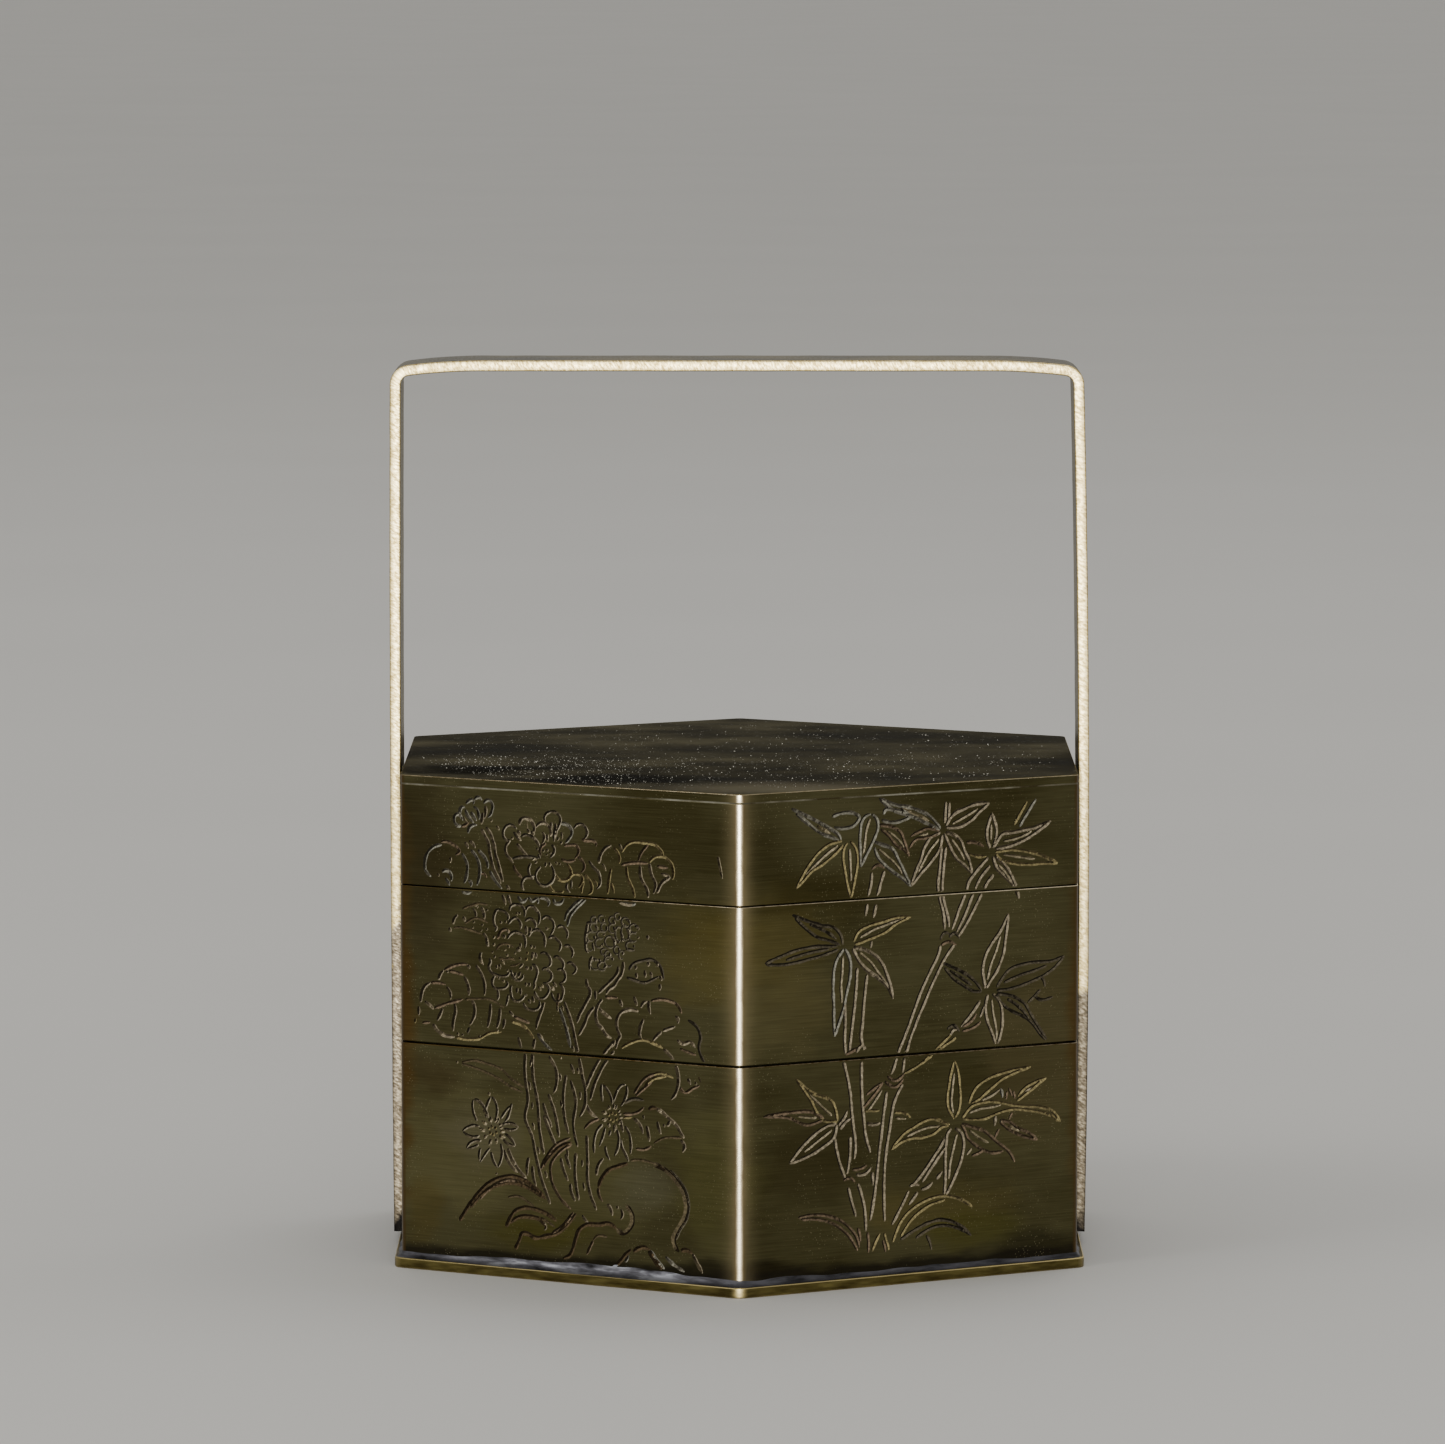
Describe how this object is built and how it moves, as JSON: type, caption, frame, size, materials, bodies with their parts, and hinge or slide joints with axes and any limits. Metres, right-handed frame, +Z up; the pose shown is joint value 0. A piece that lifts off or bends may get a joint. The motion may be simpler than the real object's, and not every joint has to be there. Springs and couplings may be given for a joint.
{
  "type": "tiered food box",
  "caption": "Six-sided stacked food carrier with two trays, a lift-off lid and a fixed handle of bent flat strip, engraved with flowers and bamboo.",
  "frame": {"origin": "centre of the underside of the base plate, on the surface that it stands on", "axes": "+Z up, through the lid and the handle; a corner of the hexagon points to -Y, towards the viewer; the handle stands in the XZ plane"},
  "size_m": [0.069, 0.0772, 0.0876],
  "materials": {
    "engraved_brass": "olive-brown patinated brass sheet, finely brushed, with bright engraved lines",
    "worn_brass": "worn golden brass with brown tarnish and grey solder near the base",
    "greyed_brass": "dull greyed brass, slightly dusty"
  },
  "bodies": {
    "root": {"base_plate": "worn_brass", "bottom_tray": "engraved_brass", "middle_tray": "engraved_brass", "lid_walls": "engraved_brass", "lid_top": "greyed_brass", "handle": "worn_brass"}
  },
  "joints": []
}
